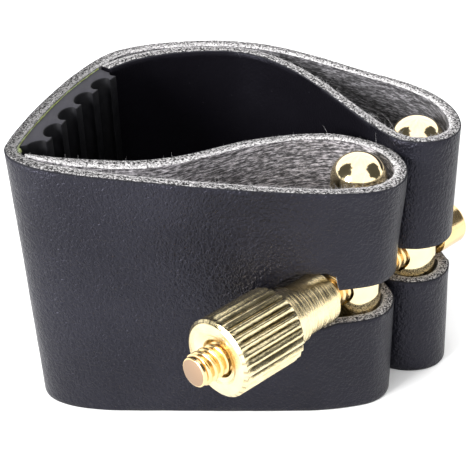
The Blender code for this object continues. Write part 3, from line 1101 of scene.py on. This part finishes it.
def thread_profile():
    """(radius, distance) down the screw's length: its end chamfer, its thread, its head."""
    end = SCREW_RADIUS - 0.16
    profile = [(0, SCREW_TIP), (end - 0.16, SCREW_TIP)]
    profile += [(end - 0.05, SCREW_TIP + 0.04), (end, SCREW_TIP + 0.1)]
    start, length = SCREW_TIP + 0.12, HEAD_FROM - 0.04 - (SCREW_TIP + 0.12)
    count = round(12 * (HEAD_FROM - start) / THREAD_PITCH)
    profile += [(SCREW_RADIUS, start + length * n / count) for n in range(count + 1)]
    near, far = 0.15, 0.35  # the rounding of the head's two rims
    profile += [(SCREW_RADIUS - THREAD_DEPTH, HEAD_FROM), (HEAD_RADIUS - near, HEAD_FROM)]
    profile += arc((HEAD_RADIUS - near, HEAD_FROM + near), near, -90, 0, 4)[1:]
    side = HEAD_TO - far - (HEAD_FROM + near)
    profile += [(HEAD_RADIUS, HEAD_FROM + near + side * n / 6) for n in range(1, 6)]
    profile += arc((HEAD_RADIUS - far, HEAD_TO - far), far, 0, 90, 8)
    return profile + [(HEAD_RADIUS * 0.5, HEAD_TO), (0, HEAD_TO)]


def add_screw(material, end_material):
    def radius_at(radius, distance, angle):
        if radius != SCREW_RADIUS:
            return radius
        turn = distance / THREAD_PITCH - angle / (2 * math.pi)
        crest = 1 - math.cos(math.pi * turn) ** 4
        if distance < SCREW_TIP + 0.42:
            return SCREW_RADIUS - 0.16
        full = smooth_step(distance, SCREW_TIP + 0.42, SCREW_TIP + 0.6)
        full *= 1 - smooth_step(distance, HEAD_FROM - 0.5, HEAD_FROM - 0.1)
        return SCREW_RADIUS - THREAD_DEPTH * (1 - crest * (0.2 + 0.8 * full))

    build = turned(thread_profile(), on_screw(), 64, radius_at, lambda ring: int(ring == 0))
    piece = build.finish("clamp_screw_threaded", [material, end_material], sharp=50)
    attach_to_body(piece, "rear_pin")
    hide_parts("clamp_screw")


def turning(n):
    """How far one pass of the lathe's tool stands out from the next."""
    return 0.05 * rough(n * 1.37, 3.3) + 0.02 * rough(n * 0.31, 8.1)


def nut_profile():
    """(radius, distance) of the thumb nut, from its bore round the knob and the collar."""
    # The bore, and the shallow recess round it
    profile = [(BORE_RADIUS, COLLAR_TO + 0.1), (BORE_RADIUS, KNOB_FROM + 0.5)]
    profile += [(BORE_RADIUS + 0.12, KNOB_FROM + 0.22), (2.35, KNOB_FROM + 0.16)]
    profile += [(2.6, KNOB_FROM + 0.12), (2.72, KNOB_FROM + 0.02), (2.85, KNOB_FROM)]
    # The knob
    face = KNOB_RADIUS - KNOB_CHAMFER
    chamfer = [(face + KNOB_CHAMFER * n / 4, 0.08 + 0.22 * n / 4) for n in range(5)]
    profile += [(face - 0.12, KNOB_FROM), (face - 0.03, KNOB_FROM + 0.03)]
    profile += [(radius, KNOB_FROM + back) for radius, back in chamfer]
    start, end = KNOB_FROM + 0.3, KNOB_TO - 0.3
    profile += [(KNOB_RADIUS, start + (end - start) * n / 16) for n in range(1, 16)]
    profile += [(radius, KNOB_TO - back) for radius, back in chamfer[::-1]]
    profile += [(face - 0.12, KNOB_TO), (RING_RADIUS + 0.1, KNOB_TO)]
    # The neck, the ring and the collar
    profile += [(COLLAR_RADIUS, KNOB_TO + 0.06), (COLLAR_RADIUS, KNOB_TO + 0.26)]
    profile += arc((RING_RADIUS - 0.1, KNOB_TO + 0.38), 0.1, -90, 0, 4)
    profile += [
        (RING_RADIUS + turning(n), KNOB_TO + 0.4 + (RING_TO - 0.55 - KNOB_TO) * n / 14)
        for n in range(1, 14)
    ]
    profile += arc((RING_RADIUS - 0.08, RING_TO - 0.1), 0.08, 0, 80, 4)
    profile += [(COLLAR_RADIUS - 0.14, RING_TO + 0.02), (COLLAR_RADIUS - 0.14, RING_TO + 0.1)]
    cuts = 44
    profile += [
        (COLLAR_RADIUS + turning(n), RING_TO + (COLLAR_TO - 0.22 - RING_TO) * n / cuts)
        for n in range(1, cuts)
    ]
    profile += arc((COLLAR_RADIUS - 0.2, COLLAR_TO - 0.2), 0.2, 0, 90, 6)
    return profile


def add_nut(materials):
    def radius_at(radius, distance, angle):
        if not KNOB_FROM < distance < KNOB_TO or radius < RING_RADIUS + 0.3:
            return radius
        wave = 1 - abs(math.cos(FLUTES * angle / 2))
        uneven = 1 + 0.15 * rough(math.cos(angle) * 5, math.sin(angle) * 5, 1.0)
        ends = smooth_step(distance, KNOB_FROM + 0.25, KNOB_FROM + 0.9)
        return min(radius, KNOB_RADIUS - FLUTE_DEPTH * ends * uneven * wave**0.85)

    profile = nut_profile()
    knob = [n for n, (r, _) in enumerate(profile) if r > RING_RADIUS + 0.6]
    fluted = range(knob[1], knob[-2])
    build = turned(profile, on_screw(), FLUTES * 14, radius_at, lambda ring: int(ring in fluted))
    piece = build.finish("thumb_nut_turned", materials, sharp=50)
    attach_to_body(piece, "thumb_nut")
    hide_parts("thumb_nut")


# Setting

def add_floor():
    mesh = bpy.data.meshes.new("floor")
    half = 1.5
    corners = [(-half, -half, 0), (half, -half, 0), (half, half, 0), (-half, half, 0)]
    mesh.from_pydata(corners, [], [(0, 1, 2, 3)])
    mesh.materials.append(Material("floor_white", (0.9, 0.9, 0.9), 0.6, specular=0.2).material)
    floor = add_object("floor", mesh)


def add_light():
    """A soft box to the left of the camera, aimed at the middle of the strap."""
    light = bpy.data.lights.new("left_softbox", "AREA")
    light.shape = "DISK"
    light.size = 0.3
    light.energy = 12.0
    made = add_object("left_softbox", light)
    made.location = (-0.55, -0.45, 0.3)
    aim = Vector((0, 0, CREASE_HEIGHT / 2 * MM)) - made.location
    made.rotation_euler = aim.to_track_quat("-Z", "Y").to_euler()


def add_world():
    """An even white tent, with its two open sides dark above the table's ends."""
    world = bpy.data.worlds.new("studio")
    world.use_nodes = True
    m = Nodes(world.node_tree)
    way = m.node("ShaderNodeTexCoord").outputs["Generated"]
    kind = "ShaderNodeVectorMath"
    mirrored = m.math("ABSOLUTE", way, (0.0, 0.0, 0.0), kind, "Vector")
    near = m.math("DOT_PRODUCT", mirrored, (0.8, 0.0, 0.6), kind)
    ragged = m.straight(m.noise(way, 5.0, 2.0, 0.5), 0.22, near)
    background = m.tree.nodes["Background"]
    m.set(background, "Color", m.ramp(ragged, [(0.965, 1.0), (1.0, 0.05)]))
    m.set(background, "Strength", 1.85)
    bpy.context.scene.world = world


def add_camera():
    camera = add_object("camera", bpy.data.cameras.new("camera"))
    camera.data.lens = CAMERA_LENS
    camera.data.clip_start = 0.005
    camera.data.clip_end = 10.0
    camera.location = (*((CREASE + CAMERA_FROM_CREASE) * MM), CAMERA_HEIGHT * MM)
    camera.rotation_euler = (math.radians(90) - CAMERA_DOWN, 0, 0)
    bpy.context.scene.camera = camera


def main():
    bpy.context.scene.view_settings.view_transform = "Standard"
    add_camera()
    add_world()
    add_floor()
    add_light()
    add_strap()
    add_pad()
    add_glue()
    polished = gold("gold_polished", 0.09)
    fine = gold("gold_turned", 0.13, lines=0.05)
    flute = 2 * math.pi * KNOB_RADIUS / FLUTES
    knurl = gold("gold_knurled", 0.22, grit=0.035, tint=(0.90, 0.78, 0.49), grooves=flute)
    threads = gold("gold_threads", 0.18, grit=0.012, tint=(0.86, 0.64, 0.34))
    add_pin("front_pin", polished)
    add_pin("rear_pin", polished)
    add_screw(threads, copper_cut())
    add_nut([fine, knurl])


main()
